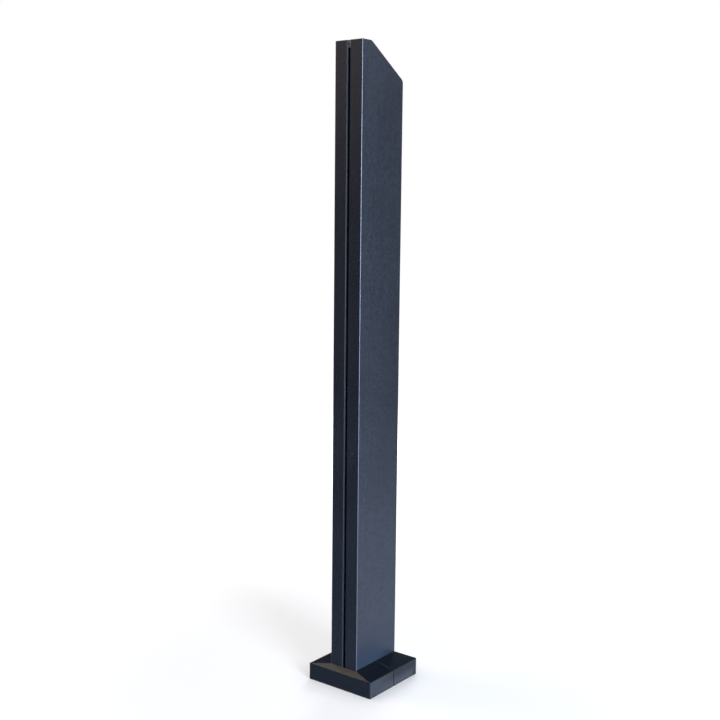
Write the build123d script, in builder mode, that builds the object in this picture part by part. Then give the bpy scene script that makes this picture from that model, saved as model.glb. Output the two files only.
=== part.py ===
from build123d import *
from math import atan2, copysign, cos, degrees, radians, tan
import os

os.makedirs("parts", exist_ok=True)

# A railing post on a bolted foot. The origin is the middle of the foot's underside, on the floor.
# Z is up, X runs along the narrow faces, and the grooved narrow face is the front, at -Y.

# Post: an aluminium extrusion
overall_height = 975.0
post_width = 50.0
post_depth = 100.0
post_wall = 2.5
post_corner_radius = 1.0

# T-slot in the middle of the front face
mouth_width = 6.0
lip_thickness = 3.5
lip_edge_radius = 0.3
channel_width = 16.5
channel_depth = 8.0
channel_wall = 2.2

# Screw ports in the four inner corners, each open on its side towards the middle
port_bore = 7.2
port_wall = 2.0
port_slit = 3.0

# Top: a flat stretch behind the front face, then a slant down to the rear face
flat_length = 22.0
slant_drop = 50.0
cap_thickness = 4.0
cap_bend_radius = 8.0

# Legs, ribs and tongue under the cap
plug_depth = 12.0
plug_clearance = 0.2
leg_thickness = 2.2
leg_end_gap = 1.5
rib_thickness = 1.8
rib_spacing = 36.0
tongue_depth = 6.5
tongue_clearance = 0.3

# Plate under the post, with anchor holes beside the broad faces
plate_thickness = 10.0
plate_corner_radius = 5.0
plate_edge_break = 0.6
plate_margin = 7.0
anchor_hole = 11.0
anchor_offset = 16.0
anchor_setback = 10.0
anchor_edge = 15.0

# Countersunk screws, up through the plate into the ports
screw_length = 30.0
thread_clearance = 0.1
screw_hole_clearance = 0.5
head_flare = 4.1
head_rim = 0.3
head_recess = 0.4
head_seat_gap = 0.05
socket_width = 5.0
socket_depth = 3.0
screw_tip_bevel = 0.8

# Two-part cover round the foot
cover_wall_height = 26.0
cover_rise = 5.4
cover_wall = 2.2
cover_plate_gap = 1.8
cover_roof = 2.4
cover_edge_radius = 1.2
cover_inner_radius = 0.6
cover_post_gap = 0.3
joint_gap = 1.4
joint_bevel = 0.5

# Clip tabs of the front half, which reach past the joint inside the rear half
tab_reach = 9.0
tab_root = 10.0
tab_thickness = 1.8
tab_height = 8.0
tab_lift = 3.0
tab_clearance = 0.2
clip_radius = 0.8
clip_setback = 3.0

# Ribs inside the cover that centre it on the plate
centring_rib = 1.6
centring_gap = 0.3
centring_rise = 8.0
centring_rib_spacing = 60.0

# Places worked out from the sizes above
half_width = post_width / 2
half_depth = post_depth / 2
front_y = -half_depth
inner_half_width = half_width - post_wall
inner_half_depth = half_depth - post_wall
port_inset = post_wall + port_bore / 2
port_outer_radius = port_bore / 2 + port_wall
port_x = half_width - port_inset
port_y = half_depth - port_inset
channel_front_y = front_y + lip_thickness
anchor_spacing_x = post_width + 2 * anchor_offset
anchor_spacing_y = post_depth - 2 * anchor_setback
plate_width = anchor_spacing_x + 2 * anchor_edge
plate_depth = post_depth + 2 * plate_margin
cover_width = plate_width + 2 * (cover_plate_gap + cover_wall)
cover_depth = plate_depth + 2 * (cover_plate_gap + cover_wall)
inner_wall_x = cover_width / 2 - cover_wall
inner_wall_y = cover_depth / 2 - cover_wall
slope_angle = degrees(atan2(slant_drop, post_depth - flat_length))
slope_ratio = slant_drop / (post_depth - flat_length)


def top_line(drop, overhang=0.0):
    """Front, bend and rear points (y, z) of the top, sunk square to both stretches by drop."""
    bend_y = front_y + flat_length - drop * tan(radians(slope_angle / 2))
    flat_z = overall_height - drop
    rear_z = overall_height - slant_drop - drop / cos(radians(slope_angle))
    return [
        (front_y - overhang, flat_z),
        (bend_y, flat_z),
        (half_depth + overhang, rear_z - overhang * slope_ratio),
    ]


def sunk(points, depth):
    """The same points, moved straight down."""
    return [(y, z - depth) for y, z in points]


# Outline of the groove's mouth, rounded out to the front face
with BuildSketch() as mouth:
    with Locations((0, front_y)):
        Rectangle(mouth_width, lip_thickness, align=(Align.CENTER, Align.MIN))
        Rectangle(channel_width, lip_thickness, align=(Align.CENTER, Align.MAX))
    lip_corners = mouth.vertices().filter_by(lambda v: abs(v.X) < mouth_width)
    fillet(lip_corners.group_by(Axis.Y)[0], lip_edge_radius)

# Post profile
with BuildPart() as post_profile:
    with BuildSketch(Plane.XY.offset(plate_thickness)):
        RectangleRounded(post_width, post_depth, post_corner_radius)
        Rectangle(2 * inner_half_width, 2 * inner_half_depth, mode=Mode.SUBTRACT)
        with Locations((0, front_y)):
            channel_block_depth = lip_thickness + channel_depth + channel_wall
            Rectangle(
                channel_width + 2 * channel_wall,
                channel_block_depth,
                align=(Align.CENTER, Align.MIN),
            )
        with GridLocations(2 * port_x, 2 * port_y, 2, 2):
            Circle(port_outer_radius)
            Circle(port_bore / 2, mode=Mode.SUBTRACT)
        for side_x in (-1, 1):
            for side_y in (-1, 1):
                inward = degrees(atan2(-side_y, -side_x))
                with Locations(Location((side_x * port_x, side_y * port_y, 0), (0, 0, inward))):
                    Rectangle(
                        port_outer_radius + port_wall,
                        port_slit,
                        align=(Align.MIN, Align.CENTER),
                        mode=Mode.SUBTRACT,
                    )
        with Locations((0, channel_front_y)):
            Rectangle(
                channel_width,
                channel_depth,
                align=(Align.CENTER, Align.MIN),
                mode=Mode.SUBTRACT,
            )
        add(mouth.sketch, mode=Mode.SUBTRACT)
    extrude(amount=overall_height - plate_thickness)
    # Saw cut that the cap sits on
    with BuildSketch(Plane.YZ):
        with BuildLine():
            cut_line = top_line(cap_thickness, overhang=post_wall)
            clear_z = overall_height + cap_thickness
            Polyline(
                *cut_line,
                (cut_line[-1][0], clear_z),
                (cut_line[0][0], clear_z),
                close=True,
            )
        make_face()
    extrude(amount=post_width, both=True, mode=Mode.SUBTRACT)

# Legs, ribs and tongue that hold the cap in the post
leg_half_length = port_y - port_outer_radius - leg_end_gap
rear_leg_half_length = port_x - port_outer_radius - leg_end_gap
leg_outer_x = inner_half_width - plug_clearance
leg_outer_y = inner_half_depth - plug_clearance
seat_line = top_line(cap_thickness)

with BuildPart() as cap_legs:
    with BuildSketch():
        for side_x in (-1, 1):
            with Locations((side_x * (leg_outer_x - leg_thickness / 2), 0)):
                Rectangle(leg_thickness, 2 * leg_half_length)
        with Locations((0, leg_outer_y - leg_thickness / 2)):
            Rectangle(2 * rear_leg_half_length, leg_thickness)
        with GridLocations(0, rib_spacing, 1, 2):
            Rectangle(2 * leg_outer_x - leg_thickness, rib_thickness)
    extrude(amount=overall_height)
    with BuildSketch(Plane.YZ):
        with BuildLine():
            Polyline(*seat_line, *reversed(sunk(seat_line, plug_depth)), close=True)
        make_face()
    extrude(amount=post_width, both=True, mode=Mode.INTERSECT)

with BuildPart() as cap_tongue:
    tongue_front_y = channel_front_y + tongue_clearance
    with BuildSketch(Plane.XY.offset(overall_height - cap_thickness - tongue_depth)):
        with Locations((0, tongue_front_y)):
            Rectangle(
                channel_width - 2 * tongue_clearance,
                channel_depth - 2 * tongue_clearance,
                align=(Align.CENTER, Align.MIN),
            )
    extrude(amount=tongue_depth)

# Cap: a plate bent over the cut, with the groove's mouth open in its front edge
with BuildPart() as top_cap:
    with BuildSketch(Plane.YZ) as cap_side:
        with BuildLine():
            skirt_z = seat_line[-1][1] - plug_depth
            Polyline(*top_line(0.0), (half_depth, skirt_z), (front_y, skirt_z), close=True)
        make_face()
        bends = cap_side.vertices().group_by(Axis.Y)[-1].sort_by(Axis.X)[-1:]
        bends += cap_side.vertices().group_by(Axis.X)[-1].sort_by(Axis.Y)[-1:]
        fillet(bends, cap_bend_radius)
    extrude(amount=half_width, both=True)
    side_edges = top_cap.faces().sort_by(Axis.X)[-1].edges()
    side_edges += top_cap.faces().sort_by(Axis.X)[0].edges()
    front_edges = top_cap.faces().sort_by(Axis.Y)[0].edges()
    skirt_edges = top_cap.faces().sort_by(Axis.Z)[0].edges()
    fillet((side_edges + front_edges) - skirt_edges, post_corner_radius)
    with BuildSketch(Plane.YZ):
        with BuildLine():
            cut_line = top_line(cap_thickness, overhang=post_wall)
            low_z = skirt_z - plug_depth
            Polyline(*cut_line, (cut_line[-1][0], low_z), (cut_line[0][0], low_z), close=True)
        make_face()
    extrude(amount=post_width, both=True, mode=Mode.SUBTRACT)
    with BuildSketch(Plane.XY.offset(overall_height - cap_thickness)):
        add(mouth.sketch)
    extrude(amount=cap_thickness, mode=Mode.SUBTRACT)
    add(cap_legs.part)
    add(cap_tongue.part)

# Plate under the post
with BuildPart() as base_plate:
    with BuildSketch():
        RectangleRounded(plate_width, plate_depth, plate_corner_radius)
    extrude(amount=plate_thickness)
    chamfer(base_plate.faces().sort_by(Axis.Z)[-1].edges(), plate_edge_break)
    with GridLocations(anchor_spacing_x, anchor_spacing_y, 2, 2):
        Hole(anchor_hole / 2)
    screw_radius = port_bore / 2 - thread_clearance
    screw_hole_radius = port_bore / 2 + screw_hole_clearance
    head_radius = screw_radius + head_flare
    sink_radius = head_radius + head_recess + head_rim + head_seat_gap
    with Locations(Plane(origin=(0, 0, 0), z_dir=(0, 0, -1))):
        with GridLocations(2 * port_x, 2 * port_y, 2, 2):
            CounterSinkHole(screw_hole_radius, sink_radius, counter_sink_angle=90)

# Screws: heads sunk in the underside, shanks up into the ports
with BuildPart() as one_screw:
    cone_z = head_recess + head_rim + head_flare
    tip_z = head_recess + screw_length
    with BuildSketch(Plane.XZ):
        with BuildLine():
            Polyline(
                (0, head_recess),
                (head_radius, head_recess),
                (head_radius, head_recess + head_rim),
                (screw_radius, cone_z),
                (screw_radius, tip_z - screw_tip_bevel),
                (screw_radius - screw_tip_bevel, tip_z),
                (0, tip_z),
                close=True,
            )
        make_face()
    revolve(axis=Axis.Z)
    with BuildSketch(Plane.XY.offset(head_recess)):
        RegularPolygon(socket_width / 2, 6, major_radius=False)
    extrude(amount=socket_depth, mode=Mode.SUBTRACT)

with BuildPart() as base_screws:
    with GridLocations(2 * port_x, 2 * port_y, 2, 2):
        add(one_screw.part)


def hipped_block(wall_height):
    """Upright walls of this height, and four slopes that rise from them to the post."""
    with BuildPart() as block:
        with BuildSketch():
            Rectangle(cover_width, cover_depth)
        extrude(amount=wall_height)
        with BuildSketch(Plane.XY.offset(wall_height)):
            Rectangle(cover_width, cover_depth)
        with BuildSketch(Plane.XY.offset(wall_height + cover_rise)):
            Rectangle(post_width, post_depth)
        loft(ruled=True)
    return block.part


cover_outside = hipped_block(cover_wall_height)
cover_inside = hipped_block(cover_wall_height - cover_roof)

# Space inside the cover: the outer form sunk by the roof's thickness, within the walls
with BuildPart() as cover_cavity:
    add(cover_inside)
    with BuildSketch():
        RectangleRounded(2 * inner_wall_x, 2 * inner_wall_y, cover_inner_radius)
    extrude(amount=cover_wall_height + cover_rise, mode=Mode.INTERSECT)

# Cover round the foot, whole, before it is parted in the middle
with BuildPart() as cover_shell:
    add(cover_outside)
    faces_by_height = cover_shell.faces().sort_by(Axis.Z)
    end_edges = faces_by_height[0].edges() + faces_by_height[-1].edges()
    fillet(cover_shell.edges() - end_edges, cover_edge_radius)
    add(cover_cavity.part, mode=Mode.SUBTRACT)
    with BuildSketch():
        RectangleRounded(
            post_width + 2 * cover_post_gap,
            post_depth + 2 * cover_post_gap,
            post_corner_radius + cover_post_gap,
        )
    extrude(amount=cover_wall_height + 2 * cover_rise, mode=Mode.SUBTRACT)

# Ribs for one half of the cover, drawn for the front
centring_height = plate_thickness + centring_rise
rib_reach = cover_plate_gap - centring_gap
with BuildPart() as centring_ribs:
    with BuildSketch():
        with Locations((0, -inner_wall_y)):
            with GridLocations(centring_rib_spacing, 0, 2, 1):
                Rectangle(centring_rib, rib_reach, align=(Align.CENTER, Align.MIN))
        for side_x in (-1, 1):
            with Locations((side_x * (inner_wall_x - rib_reach / 2), -centring_rib_spacing / 2)):
                Rectangle(rib_reach, centring_rib)
    extrude(amount=centring_height)

tab_plane = Plane.XY.offset(plate_thickness + tab_lift)
clip_spot = (inner_wall_x - tab_clearance, tab_reach - clip_setback)


def faces_outward(face):
    """Whether a face of the cover looks up or away from the post."""
    outward = Vector(copysign(1, face.center().X), 0, 1)
    return face.normal_at().get_angle(outward) < 60


def bevel_joint(half):
    """Break the outer edges of both joint faces of one half of the cover."""
    joint_edges = half.edges().filter_by_position(Axis.Y, -joint_gap, joint_gap)
    outer_faces = half.faces().filter_by(faces_outward)
    chamfer(joint_edges & outer_faces.edges(), joint_bevel)


with BuildPart() as cover_front_half:
    add(cover_shell.part)
    split(bisect_by=Plane.XZ.offset(joint_gap / 2), keep=Keep.TOP)
    bevel_joint(cover_front_half)
    add(centring_ribs.part)
    with BuildSketch(tab_plane):
        with BuildLine():
            Polyline(
                (inner_wall_x, -tab_root),
                (inner_wall_x, -joint_gap / 2),
                (inner_wall_x - tab_clearance, -joint_gap / 2),
                (inner_wall_x - tab_clearance, tab_reach),
                (inner_wall_x - tab_clearance - tab_thickness, tab_reach),
                (inner_wall_x - tab_clearance - tab_thickness, -tab_root),
                close=True,
            )
        make_face()
        with Locations(clip_spot):
            Circle(clip_radius)
        mirror(about=Plane.YZ)
    extrude(amount=tab_height)

with BuildPart() as cover_rear_half:
    add(cover_shell.part)
    split(bisect_by=Plane.XZ.offset(-joint_gap / 2), keep=Keep.BOTTOM)
    bevel_joint(cover_rear_half)
    add(centring_ribs.part.rotate(Axis.Z, 180))
    with BuildSketch(tab_plane.offset(-tab_clearance)):
        with Locations(clip_spot):
            Circle(clip_radius + tab_clearance)
        mirror(about=Plane.YZ)
    extrude(amount=tab_height + 2 * tab_clearance, mode=Mode.SUBTRACT)

for piece, name in (
    (post_profile, "post_profile"),
    (top_cap, "top_cap"),
    (base_plate, "base_plate"),
    (base_screws, "base_screws"),
    (cover_front_half, "cover_front_half"),
    (cover_rear_half, "cover_rear_half"),
):
    piece.part.label = name
    export_step(piece.part, f"parts/{name}.step")
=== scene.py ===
import math

import bpy
from mathutils import Matrix, Vector

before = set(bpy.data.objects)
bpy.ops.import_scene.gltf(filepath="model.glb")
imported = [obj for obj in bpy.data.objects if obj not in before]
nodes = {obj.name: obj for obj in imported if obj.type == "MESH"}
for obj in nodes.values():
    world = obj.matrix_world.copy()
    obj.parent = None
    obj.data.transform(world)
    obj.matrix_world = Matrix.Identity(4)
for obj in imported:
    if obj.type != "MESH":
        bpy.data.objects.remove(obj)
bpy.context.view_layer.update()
print("frame loaded:", ", ".join(sorted(nodes)))

maskBlur = 0.0001  # half the width of a mask's edge, in metres
bevelSamples = 6
white = (1.0, 1.0, 1.0, 1.0)


# Shader maths: a Wire is one socket, and sums on wires add Math nodes
class Wire:
    def __init__(self, tree, socket=None):
        self.tree = tree
        self.socket = socket

    def add(self, kind, settings=None, sockets=None, out=0):
        node = self.tree.nodes.new(kind)
        for name, value in (settings or {}).items():
            if name == "stops":
                ramp = node.color_ramp
                while len(ramp.elements) < len(value):
                    ramp.elements.new(1.0)
                for element, (place, tint) in zip(ramp.elements, value):
                    element.position = place
                    element.color = tint
            else:
                setattr(node, name, value)
        for name, value in (sockets or {}).items():
            if isinstance(value, Wire):
                self.tree.links.new(value.socket, node.inputs[name])
            else:
                node.inputs[name].default_value = value
        return Wire(self.tree, node.outputs[out]) if node.outputs else None

    def maths(self, operation, first, second=0.0):
        return self.add("ShaderNodeMath", {"operation": operation}, {0: first, 1: second})

    def __add__(self, other):
        return self.maths("ADD", self, other)

    def __radd__(self, other):
        return self.maths("ADD", other, self)

    def __sub__(self, other):
        return self.maths("SUBTRACT", self, other)

    def __rsub__(self, other):
        return self.maths("SUBTRACT", other, self)

    def __mul__(self, other):
        return self.maths("MULTIPLY", self, other)

    def __rmul__(self, other):
        return self.maths("MULTIPLY", other, self)

    def __abs__(self):
        return self.maths("ABSOLUTE", self)

    def pick(self, output):  # another output of the same node, by number or name
        return Wire(self.tree, self.socket.node.outputs[output])

    def step(self, low, high):  # 0 at low, 1 at high, with a soft rise between
        return self.add(
            "ShaderNodeMapRange",
            {"interpolation_type": "SMOOTHSTEP"},
            {"Value": self, "From Min": low, "From Max": high},
        )

    def below(self, limit):  # 1 under the limit, 0 over it
        return 1.0 - self.step(limit - maskBlur, limit + maskBlur)

    def mix(self, first, second):  # first where this wire is 0, second where it is 1
        return self.add(
            "ShaderNodeMix", {"data_type": "RGBA"}, {0: self, 6: first, 7: second}, out=2
        )

    def vector(self, operation, first, second=(0.0, 0.0, 0.0), out=0):
        return self.add(
            "ShaderNodeVectorMath", {"operation": operation}, {0: first, 1: second}, out
        )

    def noise(self, place, scale, detail=2.0):
        return self.add(
            "ShaderNodeTexNoise", None, {"Vector": place, "Scale": scale, "Detail": detail}
        )

    def ramp(self, stops):  # the stops' colour at this wire's value
        return self.add("ShaderNodeValToRGB", {"stops": stops}, {"Fac": self})


def newMaterial(name):
    material = bpy.data.materials.new(name)
    material.use_nodes = True
    material.node_tree.nodes.clear()
    return material, Wire(material.node_tree)


def paint(name, material):
    for slot in nodes[name].material_slots:
        slot.material = material


def opaque(tint):
    return (tint[0], tint[1], tint[2], 1.0)


# Where a point lies: the place itself, then across, along and its height, in metres
def coordinates(start):
    place = start.add("ShaderNodeTexCoord", out="Object")
    split = start.add("ShaderNodeSeparateXYZ", None, {"Vector": place})
    return place, (split, split.pick(1), split.pick(2))


# 1 on an edge and 0 on a flat, from how far the rounded normal turns
def edgeMask(start, reach, turn):
    rounded = start.add("ShaderNodeBevel", {"samples": bevelSamples}, {"Radius": reach})
    flat = start.add("ShaderNodeNewGeometry", out="Normal")
    turned = 1.0 - start.vector("DOT_PRODUCT", rounded, flat, out="Value")
    return turned.step(*turn)


# The last nodes of each piece's material: relief, surface and output
def dress(start, values, relief, sockets):
    bump = start.add(
        "ShaderNodeBump",
        None,
        {
            "Height": relief,
            "Distance": values["bumpHeight"],
            "Strength": values["bumpStrength"],
        },
    )
    surface = start.add("ShaderNodeBsdfPrincipled", None, {**sockets, "Normal": bump})
    start.add("ShaderNodeOutputMaterial", None, {"Surface": surface})


# Powder coat on the extrusion and its cap. Sizes, places and heights are in metres,
# scales are per metre, and a pair says where a change begins and where it ends.
coating = {
    "colour": (0.0245, 0.0285, 0.0400),
    "thinColour": (0.0095, 0.0115, 0.0175),
    "shadeRange": (0.34, 0.66),
    "roughness": 0.42,
    "ior": 1.5,
    "cloudScale": 9.0,
    "cloudShare": 0.25,
    "cloudGloss": 0.08,
    "mottleScale": 300.0,
    "mottleGloss": 0.14,
    "grainScale": 1700.0,
    "grainShare": 0.22,
    "fineDetail": 3.0,
    "lineScale": (900.0, 900.0, 5.0),
    "lineShare": 0.5,
    "bumpHeight": 0.00010,
    "bumpStrength": 0.90,
    # Worn edges
    "edgeColour": (0.0400, 0.0470, 0.0600),
    "edgeReach": 0.0011,
    "edgeTurn": (0.02, 0.30),
    "wornPatches": (0.35, 0.65),
    "wornShare": 0.6,
    # The four upright corners, with their painted highlight colour at some heights
    "cornerPlace": (0.025, 0.050, 0.0),
    "cornerReach": 0.0009,
    "cornerBlur": 0.3,
    "cornerHighlightStops": [
        (0.00, (0.190, 0.223, 0.281, 1.0)),
        (0.22, (0.133, 0.156, 0.197, 1.0)),
        (0.52, (0.092, 0.108, 0.136, 1.0)),
        (0.70, (0.119, 0.139, 0.175, 1.0)),
        (1.00, (0.137, 0.158, 0.189, 1.0)),
    ],
    "cornerGloss": 0.14,
    "cornerMetal": 0.85,
    "cornerCalm": (0.00108, 0.00315),
    # Painted shade, to the rear and over the front
    "dullAndShadeColour": (0.0080, 0.0088, 0.0110),
    "rearPlaces": (-0.03, 0.04),
    "rearHeights": (0.25, 0.45),
    "rearShare": 0.36,
    "frontFace": -0.0490,
    "frontHeights": (0.35, 0.55),
    "frontShare": 0.45,
    "topHeights": (0.70, 0.90),
    "topShare": 0.25,
    # The band just above the cover: a painted shadow line at the cover's edge, then painted
    # bounce light, with its stops as shares of its height
    "bandHeight": 0.100,
    "bandShadeAndLightStops": [
        (0.318, (0.0010, 0.0015, 0.0030, 1.0)),
        (0.335, (0.0310, 0.0510, 0.0830, 1.0)),
        (0.580, (0.0110, 0.0190, 0.0340, 1.0)),
        (0.860, (0.0130, 0.0175, 0.0280, 1.0)),
    ],
    "bandFoot": (0.0295, 0.0300),
    "bandTop": (0.080, 0.100),
    "bandSides": (0.0240, 0.0248),
    "bandLeftShare": 0.4,
    "bandEndShadeColour": (0.0030, 0.0060, 0.0110),
    "bandEndPlaces": (0.00, 0.04),
    "bandEndHeights": (0.045, 0.075),
    "bandEndShare": 0.5,
    # Light specks, and the one fleck on the front
    "speckColour": (0.1000, 0.1050, 0.1150),
    "speckScale": 520.0,
    "speckDetail": 1.0,
    "speckLevels": (0.83, 0.86),
    "speckShare": 0.7,
    "fleckPlace": (0.01295, -0.0500, 0.3712),
    "fleckRadius": 0.0020,
    "fleckShare": 0.8,
    # The groove's mouth, with painted light on its walls
    "mouthLightColour": (0.0450, 0.0540, 0.0700),
    "mouthHalf": 0.0034,
    "mouthBack": -0.0462,
}

# Where the metal has no coat
bare = {
    "colour": (0.5000, 0.4600, 0.4500),
    "metal": 0.4,
    "tubeHalfWidth": 0.0227,
    "tubeHalfDepth": 0.0477,
    "grooveHalfWidth": 0.0093,
    "grooveBack": -0.0374,
    "legHalfWidth": 0.0235,
    "legHalfDepth": 0.0490,
    "capUnder": 0.9709,
    "slantStart": -0.0292,
    "slantSlope": 0.641,
    "tongueHalfWidth": 0.0036,
    "tongueTop": 0.9744,
    "tongueFront": -0.0468,
    "tongueBack": -0.0330,
}


# Inside the post, apart from the groove
def bareInPost(where):
    across, along = abs(where[0]), where[1]
    inTube = across.below(bare["tubeHalfWidth"]) * abs(along).below(bare["tubeHalfDepth"])
    inGroove = across.below(bare["grooveHalfWidth"]) * along.below(bare["grooveBack"])
    return inTube * (1.0 - inGroove)


# The legs and the tongue under the cap's plate
def bareInCap(where):
    across, along, height = abs(where[0]), where[1], where[2]
    drop = across.maths("MAXIMUM", along - bare["slantStart"], 0.0) * bare["slantSlope"]
    legs = across.below(bare["legHalfWidth"]) * abs(along).below(bare["legHalfDepth"])
    legs = legs * (height + drop).below(bare["capUnder"])
    tongue = across.below(bare["tongueHalfWidth"]) * height.below(bare["tongueTop"])
    tongue = tongue * along.below(bare["tongueBack"])
    tongue = tongue * (1.0 - along.below(bare["tongueFront"]))
    return across.maths("MAXIMUM", legs, tongue)


# Painted shade on the coat: towards the rear and over the front, both above the lower third
def paintedShadeMask(along, height):
    rearward = along.step(*coating["rearPlaces"]) * height.step(*coating["rearHeights"])
    frontal = along.below(coating["frontFace"]) * height.step(*coating["frontHeights"])
    top = height.step(*coating["topHeights"])
    frontal = frontal * (coating["frontShare"] - top * coating["topShare"])
    return along.maths("MAXIMUM", rearward * coating["rearShare"], frontal)


# The coat with its painted band just above the cover, a shadow line and bounce light, fainter on
# the left, with painted shade to the rear
def addPaintedBand(tint, across, along, height):
    paintedBandTint = (height * (1.0 / coating["bandHeight"])).ramp(coating["bandShadeAndLightStops"])
    end = along.step(*coating["bandEndPlaces"])
    end = end * (1.0 - height.step(*coating["bandEndHeights"])) * coating["bandEndShare"]
    paintedBandTint = end.mix(paintedBandTint, opaque(coating["bandEndShadeColour"]))
    right = across.step(*coating["bandSides"])
    left = (across * -1.0).step(*coating["bandSides"])
    band = right + left * coating["bandLeftShare"]
    band = band * (1.0 - height.step(*coating["bandTop"])) * height.step(*coating["bandFoot"])
    return band.mix(tint, paintedBandTint)


def powderCoat(name, lines, findBare):
    material, start = newMaterial(name)
    place, where = coordinates(start)
    across, along, height = where
    clouds = start.noise(place, coating["cloudScale"])
    mottle = start.noise(place, coating["mottleScale"], coating["fineDetail"])
    grain = start.noise(place, coating["grainScale"], coating["fineDetail"])
    # Fine lines from the die, along the post
    streaks = start.noise(start.vector("MULTIPLY", place, coating["lineScale"]), 1.0)
    shade = clouds * coating["cloudShare"] + mottle * (1.0 - coating["cloudShare"])
    shade = (shade + (streaks - 0.5) * lines).step(*coating["shadeRange"])
    tint = shade.mix(opaque(coating["thinColour"]), opaque(coating["colour"]))
    # Painted shade: darker towards the rear and over the front
    tint = paintedShadeMask(along, height).mix(tint, opaque(coating["dullAndShadeColour"]))
    # Painted shade and light in a band just above the cover: a shadow line at its edge, bounce
    # light above
    tint = addPaintedBand(tint, across, along, height)
    worn = edgeMask(start, coating["edgeReach"], coating["edgeTurn"])
    worn = worn * mottle.step(*coating["wornPatches"])
    tint = (worn * coating["wornShare"]).mix(tint, opaque(coating["edgeColour"]))
    specks = start.noise(place, coating["speckScale"], coating["speckDetail"])
    specks = specks.step(*coating["speckLevels"]) * coating["speckShare"]
    fleck = start.vector("DISTANCE", place, coating["fleckPlace"], out="Value")
    fleck = 1.0 - fleck.step(coating["fleckRadius"] * 0.5, coating["fleckRadius"])
    specks = start.maths("MAXIMUM", specks, fleck * coating["fleckShare"])
    tint = specks.mix(tint, opaque(coating["speckColour"]))
    # Inside the groove's mouth it is paler: painted light on the walls of its lips
    mouth = abs(across).below(coating["mouthHalf"]) * along.below(coating["mouthBack"])
    tint = mouth.mix(tint, opaque(coating["mouthLightColour"]))
    uncoated = findBare(where)
    tint = uncoated.mix(tint, opaque(bare["colour"]))
    # Along the four upright corners it is smooth and half worn through to metal, and a painted
    # highlight there changes with height
    inset = start.vector("SUBTRACT", coating["cornerPlace"], start.vector("ABSOLUTE", place))
    inset = start.vector("DOT_PRODUCT", inset, (1.0, 1.0, 0.0), out="Value")
    reach, blur = coating["cornerReach"], coating["cornerBlur"]
    corner = 1.0 - inset.step(reach * (1.0 - blur), reach * (1.0 + blur))
    tint = corner.mix(tint, height.ramp(coating["cornerHighlightStops"]))
    relief = (grain - 0.5) * coating["grainShare"] + (mottle - 0.5)
    relief = relief + (streaks - 0.5) * (coating["lineShare"] * lines)
    uneven = (mottle - 0.5) * coating["mottleGloss"] + (clouds - 0.5) * coating["cloudGloss"]
    rough = coating["roughness"] + uneven * (1.0 - corner) - corner * coating["cornerGloss"]
    metal = start.maths("MAXIMUM", corner * coating["cornerMetal"], uncoated * bare["metal"])
    dress(
        start,
        coating,
        relief * inset.step(*coating["cornerCalm"]),
        {"Base Color": tint, "Roughness": rough, "Metallic": metal, "IOR": coating["ior"]},
    )
    return material


paint("post_profile", powderCoat("postCoat", 0.30, bareInPost))
paint("top_cap", powderCoat("capCoat", 0.0, bareInCap))
print("powder coat on the post and its cap")

# Moulded plastic of the two-part cover
moulding = {
    "colour": (0.0078, 0.0104, 0.0160),
    "paleColour": (0.0098, 0.0128, 0.0192),
    "shadeRange": (0.25, 0.75),
    "roughness": 0.30,
    "ior": 1.5,
    "flowScale": 24.0,
    "flowShare": 0.6,
    "flowGloss": 0.06,
    "smudgeScale": 140.0,
    "smudgeDetail": 4.0,
    "smudgeGloss": 0.12,
    "grainScale": 2600.0,
    "bumpHeight": 0.00006,
    "bumpStrength": 0.22,
    # Worn edges
    "edgeColour": (0.0400, 0.0480, 0.0640),
    "edgeReach": 0.0008,
    "edgeTurn": (0.03, 0.35),
    "wornPatches": (0.30, 0.70),
    "wornShare": 0.5,
    # The joint between the halves, where it crosses the slopes, and its painted highlight
    "jointHighlightColour": (0.0330, 0.0400, 0.0530),
    "jointReach": 0.0013,
    # The slopes, which start at this height, with painted shade, and painted light at the front
    # one's right
    "slopeFoot": 0.0262,
    "frontFacing": (0.2, 0.4),
    "slopeShadeColour": (0.0018, 0.0042, 0.0100),
    "slopeShare": 0.8,
    "slopeFade": 0.7,
    "slopeFadePlaces": (0.0, 0.04),
    "frontLeftShadeColour": (0.0030, 0.0042, 0.0060),
    "frontRightLightColour": (0.0140, 0.0170, 0.0170),
    "frontPlaces": (0.000, 0.025),
    "smoothHeights": (0.0266, 0.0273),
    "smoothGloss": 0.15,
    # The side walls, with painted light near the floor and painted shade above it and at the
    # rear end
    "sideFacing": (0.6, 0.8),
    "lowLightColour": (0.0250, 0.0285, 0.0360),
    "highShadeColour": (0.0008, 0.0010, 0.0010),
    "wallPlaces": (-0.050, -0.010),
    "wallHeights": (0.002, 0.019),
    "wallEnd": (0.040, 0.060),
    "dullPlaces": (-0.040, 0.020),
    "dullness": 0.30,
}


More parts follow.
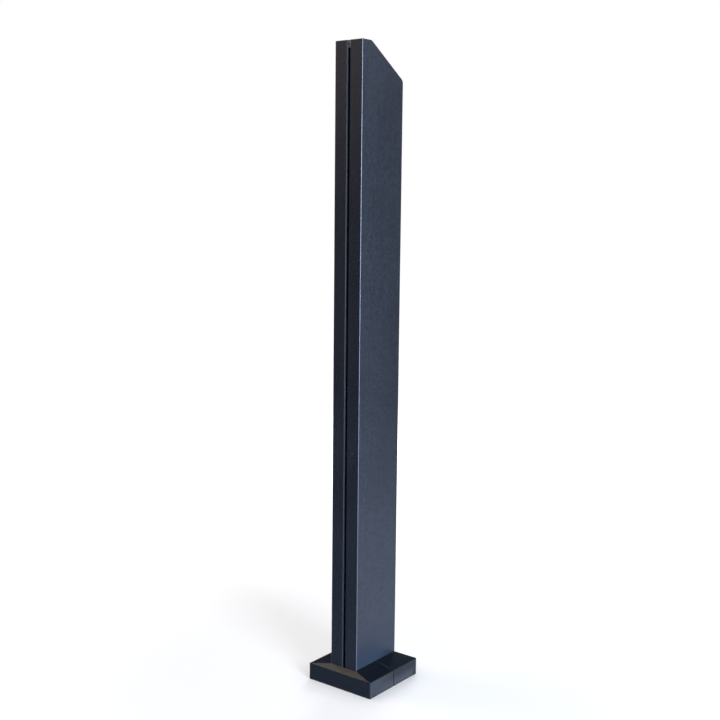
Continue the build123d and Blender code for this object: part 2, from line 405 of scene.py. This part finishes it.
def mouldedPlastic(name, shadeShift):
    material, start = newMaterial(name)
    place, (across, along, height) = coordinates(start)
    flow = start.noise(place, moulding["flowScale"])
    smudge = start.noise(place, moulding["smudgeScale"], moulding["smudgeDetail"])
    grain = start.noise(place, moulding["grainScale"])
    shade = flow * moulding["flowShare"] + smudge * (1.0 - moulding["flowShare"])
    shade = (shade + shadeShift).step(*moulding["shadeRange"])
    tint = shade.mix(opaque(moulding["colour"]), opaque(moulding["paleColour"]))
    worn = edgeMask(start, moulding["edgeReach"], moulding["edgeTurn"])
    worn = worn * smudge.step(*moulding["wornPatches"])
    tint = (worn * moulding["wornShare"]).mix(tint, opaque(moulding["edgeColour"]))
    # Painted shade makes the slopes darker, least of all towards the rear
    normal = start.add("ShaderNodeNewGeometry", out="Normal")
    frontal = start.vector("DOT_PRODUCT", normal, (0.0, -1.0, 0.0), out="Value")
    frontal = frontal.step(*moulding["frontFacing"])
    wall = height.below(moulding["slopeFoot"])
    slope = 1.0 - wall
    fade = along.step(*moulding["slopeFadePlaces"]) * moulding["slopeFade"]
    paintedSlopeShade = slope * (1.0 - frontal) * (moulding["slopeShare"] - fade)
    tint = paintedSlopeShade.mix(tint, opaque(moulding["slopeShadeColour"]))
    # The front one gets painted shade at its left and painted light at its right, and is smooth
    # along its lower edge
    frontSlope = slope * frontal
    paintedFrontTint = across.step(*moulding["frontPlaces"]).mix(
        opaque(moulding["frontLeftShadeColour"]), opaque(moulding["frontRightLightColour"])
    )
    tint = frontSlope.mix(tint, paintedFrontTint)
    smooth = frontSlope * (1.0 - height.step(*moulding["smoothHeights"]))
    # The joint's edges get a pale painted highlight on the slopes
    jointHighlight = abs(along).below(moulding["jointReach"]) * slope
    tint = jointHighlight.mix(tint, opaque(moulding["jointHighlightColour"]))
    # The side walls get painted light at the floor and painted shade above it and at the rear
    # end, and are duller (rougher) there
    sideways = abs(start.vector("DOT_PRODUCT", normal, (1.0, 0.0, 0.0), out="Value"))
    sideWall = wall * sideways.step(*moulding["sideFacing"])
    high = start.maths(
        "MAXIMUM", height.step(*moulding["wallHeights"]), along.step(*moulding["wallEnd"])
    )
    paintedWallTint = high.mix(opaque(moulding["lowLightColour"]), opaque(moulding["highShadeColour"]))
    tint = (along.step(*moulding["wallPlaces"]) * sideWall).mix(tint, paintedWallTint)
    dull = high * along.step(*moulding["dullPlaces"]) * sideWall
    uneven = (smudge - 0.5) * moulding["smudgeGloss"] + (flow - 0.5) * moulding["flowGloss"]
    rough = moulding["roughness"] + uneven + dull * moulding["dullness"]
    rough = rough - smooth * moulding["smoothGloss"]
    dress(
        start,
        moulding,
        grain,
        {"Base Color": tint, "Roughness": rough, "IOR": moulding["ior"]},
    )
    return material


paint("cover_front_half", mouldedPlastic("frontHalfPlastic", 0.05))
paint("cover_rear_half", mouldedPlastic("rearHalfPlastic", -0.10))
print("plastic on the cover halves")

# Mill finish of the plate under the post
plate = {
    "colour": (0.60, 0.60, 0.61),
    "dullAndShadeColour": (0.44, 0.44, 0.45),
    "dullRange": (0.35, 0.70),
    "roughness": 0.40,
    "lineScale": (1400.0, 14.0, 1400.0),
    "lineDetail": 3.0,
    "lineShare": 0.3,
    "lineGloss": 0.18,
    "blotchScale": 45.0,
    "blotchDetail": 5.0,
    "blotchShare": 0.7,
    "blotchGloss": 0.20,
    "edgeReach": 0.0010,
    "edgeTurn": (0.02, 0.30),
    "wornShare": 0.2,
    "bumpHeight": 0.00006,
    "bumpStrength": 0.25,
}


def millAluminium(name):
    material, start = newMaterial(name)
    place = start.add("ShaderNodeTexCoord", out="Object")
    # Rolling lines along the plate
    stretched = start.vector("MULTIPLY", place, plate["lineScale"])
    lines = start.noise(stretched, 1.0, plate["lineDetail"])
    blotch = start.noise(place, plate["blotchScale"], plate["blotchDetail"])
    worn = edgeMask(start, plate["edgeReach"], plate["edgeTurn"])
    dull = blotch * plate["blotchShare"] + lines * plate["lineShare"]
    dull = (dull - worn * plate["wornShare"]).step(*plate["dullRange"])
    tint = dull.mix(opaque(plate["colour"]), opaque(plate["dullAndShadeColour"]))
    uneven = (lines - 0.5) * plate["lineGloss"] + (blotch - 0.5) * plate["blotchGloss"]
    rough = plate["roughness"] + uneven
    dress(start, plate, lines, {"Base Color": tint, "Metallic": 1.0, "Roughness": rough})
    return material


paint("base_plate", millAluminium("plateAluminium"))

# Stainless screws, turned: fine rings round each screw's own axis
screws = {
    "colour": (0.50, 0.50, 0.49),
    "darkColour": (0.36, 0.355, 0.34),
    "darkRange": (0.35, 0.75),
    "roughness": 0.30,
    "axisPlace": (0.0189, 0.0439, 0.0),
    "ringSpacing": 0.00025,
    "ringShare": 0.4,
    "ringGloss": 0.03,
    "blotchScale": 260.0,
    "blotchDetail": 4.0,
    "blotchShare": 0.6,
    "blotchGloss": 0.20,
    "bumpHeight": 0.00003,
    "bumpStrength": 0.30,
}


def turnedSteel(name):
    material, start = newMaterial(name)
    place = start.add("ShaderNodeTexCoord", out="Object")
    apart = start.vector("SUBTRACT", start.vector("ABSOLUTE", place), screws["axisPlace"])
    apart = start.vector("MULTIPLY", apart, (1.0, 1.0, 0.0))
    radius = start.vector("LENGTH", apart, out="Value")
    rings = start.maths("SINE", radius * (2.0 * math.pi / screws["ringSpacing"]))
    blotch = start.noise(place, screws["blotchScale"], screws["blotchDetail"])
    dark = blotch.step(*screws["darkRange"])
    tint = dark.mix(opaque(screws["colour"]), opaque(screws["darkColour"]))
    relief = rings * screws["ringShare"] + blotch * screws["blotchShare"]
    rough = screws["roughness"] + (blotch - 0.5) * screws["blotchGloss"]
    rough = rough + rings * screws["ringGloss"]
    dress(start, screws, relief, {"Base Color": tint, "Metallic": 1.0, "Roughness": rough})
    return material


paint("base_screws", turnedSteel("screwSteel"))
print("metal on the plate and its screws")


def seenDirectly(start):  # 1 for the camera's rays, and for those seen in gloss or glass
    path = start.add("ShaderNodeLightPath", out="Is Camera Ray")
    rays = path + path.pick("Is Glossy Ray") + path.pick("Is Transmission Ray")
    return start.maths("MINIMUM", rays, 1.0)


# Soft light from all round, before a white backdrop
fillColour = (0.105, 0.110, 0.125)


def buildWorld():
    world = bpy.data.worlds.new("studioWorld")
    bpy.context.scene.world = world
    world.use_nodes = True
    world.node_tree.nodes.clear()
    start = Wire(world.node_tree)
    tint = seenDirectly(start).mix(opaque(fillColour), white)
    surface = start.add("ShaderNodeBackground", None, {"Color": tint, "Strength": 1.0})
    start.add("ShaderNodeOutputWorld", None, {"Surface": surface})


def buildMesh(name, corners):
    mesh = bpy.data.meshes.new(name)
    mesh.from_pydata(corners, [], [(0, 1, 2, 3)])
    mesh.update()
    piece = bpy.data.objects.new(name, mesh)
    bpy.context.scene.collection.objects.link(piece)
    return piece


# Pale floor that turns white away from the foot and keeps its shadow
floorPaper = {
    "halfSize": 12.0,
    "colour": (0.62, 0.62, 0.62),
    "nearGlow": (0.585, 0.592, 0.601),
    "glowPlaces": (0.25, 1.1),
    "contactGlow": (0.14, 0.12, 0.08),
    "contactReach": 0.045,
    "contactSamples": 8,
}


def buildFloor():
    half = floorPaper["halfSize"]
    floor = buildMesh(
        "floor", [(-half, -half, 0.0), (half, -half, 0.0), (half, half, 0.0), (-half, half, 0.0)]
    )
    material, start = newMaterial("floorPaper")
    place = start.add("ShaderNodeTexCoord", out="Object")
    away = start.vector("LENGTH", place, out="Value").step(*floorPaper["glowPlaces"])
    glow = away.mix(opaque(floorPaper["nearGlow"]), white)
    # Soft shadow right beside the foot
    clear = start.add(
        "ShaderNodeAmbientOcclusion",
        {"samples": floorPaper["contactSamples"]},
        {"Distance": floorPaper["contactReach"]},
        out="AO",
    )
    glow = clear.mix(opaque(floorPaper["contactGlow"]), glow)
    paper = start.add("ShaderNodeBsdfDiffuse", None, {"Color": opaque(floorPaper["colour"])})
    shine = start.add("ShaderNodeEmission", None, {"Color": glow, "Strength": 1.0})
    bright = start.add("ShaderNodeAddShader", None, {0: paper, 1: shine})
    surface = start.add(
        "ShaderNodeMixShader", None, {0: seenDirectly(start), 1: paper, 2: bright}
    )
    start.add("ShaderNodeOutputMaterial", None, {"Surface": surface})
    floor.data.materials.append(material)


def aroundPost(azimuth, distance, height):
    angle = math.radians(azimuth)
    return (distance * math.sin(angle), -distance * math.cos(angle), height)


# Lamps, with their size in metres and their power in watts
lamps = {
    "keyLight": {
        "place": aroundPost(67.0, 2.1, 0.62),
        "aim": (0.0, 0.0, 0.45),
        "size": (0.8, 1.4),
        "power": 58.0,
        "colour": (0.86, 0.98, 1.22),
        "inReflections": True,
    },
    "warmLight": {
        "place": (-0.85, -0.25, 1.60),
        "aim": (0.0, -0.05, 0.0),
        "size": (0.4, 0.8),
        "power": 5.1,
        "colour": (1.0, 0.77, 0.60),
        "inReflections": True,
    },
    "rearLight": {
        "place": (-0.9, 1.9, 1.0),
        "aim": (0.0, 0.0, 0.45),
        "size": (0.8, 1.4),
        "power": 26.0,
        "colour": (0.96, 0.98, 1.0),
        "inReflections": False,
    },
}


def buildLamp(name, values):
    data = bpy.data.lights.new(name, "AREA")
    data.shape = "RECTANGLE"
    data.size, data.size_y = values["size"]
    data.energy = values["power"]
    data.color = values["colour"]
    lamp = bpy.data.objects.new(name, data)
    bpy.context.scene.collection.objects.link(lamp)
    lamp.location = values["place"]
    towards = Vector(values["aim"]) - Vector(values["place"])
    lamp.rotation_euler = towards.to_track_quat("-Z", "Y").to_euler()
    lamp.visible_glossy = values["inReflections"]


# Cards that only show as reflections, flat between two opposite corners. A card with a
# top colour changes to it between two heights.
cards = {
    # Left of the camera's line: dark, warm at its top
    "leftCard": {
        "from": (-2.2, -0.9, 0.001),
        "to": (0.1, -0.9, 1.9),
        "colour": (0.025, 0.034, 0.055),
        "topColour": (0.92, 0.63, 0.44),
        "heights": (0.80, 1.45),
    },
    "floorCard": {
        "from": (-2.2, -0.9, 0.001),
        "to": (0.06, -0.062, 0.001),
        "colour": (0.10, 0.16, 0.27),
    },
    "nearFloorCard": {
        "from": (-0.5, -0.30, 0.002),
        "to": (0.06, -0.062, 0.002),
        "colour": (0.19, 0.28, 0.42),
    },
    "rightFloorCard": {
        "from": (0.061, -0.06, 0.001),
        "to": (2.4, 0.9, 0.001),
        "colour": (0.86, 1.04, 1.40),
    },
    "rearFloorCard": {
        "from": (-2.4, 0.30, 0.002),
        "to": (0.06, 0.9, 0.002),
        "colour": (0.06, 0.06, 0.07),
    },
    "rearCard": {
        "from": (-2.4, 0.9, 0.001),
        "to": (0.62, 0.9, 3.0),
        "colour": (0.034, 0.036, 0.043),
        "topColour": (0.11, 0.15, 0.20),
        "heights": (0.35, 0.70),
    },
    "rightCard": {
        "from": (0.62, 0.9, 0.001),
        "to": (2.4, 0.9, 1.15),
        "colour": (0.64, 0.75, 0.96),
        "topColour": (0.43, 0.53, 0.72),
        "heights": (0.0, 0.6),
    },
}


def buildCard(name, values):
    (x0, y0, z0), (x1, y1, z1) = values["from"], values["to"]
    card = buildMesh(name, [(x0, y0, z0), (x1, y0, z0), (x1, y1, z1), (x0, y1, z1)])
    material, start = newMaterial(name + "Paper")
    tint = opaque(values["colour"])
    if "topColour" in values:
        place, where = coordinates(start)
        tint = where[2].step(*values["heights"]).mix(tint, opaque(values["topColour"]))
    surface = start.add("ShaderNodeEmission", None, {"Color": tint, "Strength": 1.0})
    start.add("ShaderNodeOutputMaterial", None, {"Surface": surface})
    card.data.materials.append(material)
    card.visible_camera = False
    card.visible_diffuse = False
    card.visible_transmission = False
    card.visible_shadow = False


buildWorld()
buildFloor()
for name, values in lamps.items():
    buildLamp(name, values)
for name, values in cards.items():
    buildCard(name, values)
print("studio ready")

# Camera at the photo's angle
camera = {
    "azimuth": 37.685,
    "elevation": 7.914,
    "roll": 0.584,
    "place": (1.01616, -1.33192, 0.73932),
    "focalPixels": 1109.09,
    "framePixels": 720.0,
    "sensor": 36.0,
    "near": 0.05,
    "far": 60.0,
}


def buildCamera():
    azimuth = math.radians(camera["azimuth"])
    elevation = math.radians(camera["elevation"])
    roll = math.radians(camera["roll"])
    forward = Vector(
        (
            -math.sin(azimuth) * math.cos(elevation),
            math.cos(azimuth) * math.cos(elevation),
            -math.sin(elevation),
        )
    )
    right = forward.cross(Vector((0.0, 0.0, 1.0))).normalized()
    up = right.cross(forward)
    turnedRight = math.cos(roll) * right + math.sin(roll) * up
    turnedUp = math.cos(roll) * up - math.sin(roll) * right
    data = bpy.data.cameras.new("photoCamera")
    data.sensor_width = camera["sensor"]
    data.lens = camera["focalPixels"] / camera["framePixels"] * camera["sensor"]
    data.clip_start = camera["near"]
    data.clip_end = camera["far"]
    eye = bpy.data.objects.new("photoCamera", data)
    bpy.context.scene.collection.objects.link(eye)
    turn = Matrix((turnedRight, turnedUp, -forward)).transposed().to_4x4()
    eye.matrix_world = Matrix.Translation(camera["place"]) @ turn
    bpy.context.scene.camera = eye


buildCamera()
bpy.context.scene.view_settings.view_transform = "Standard"
print("camera set")
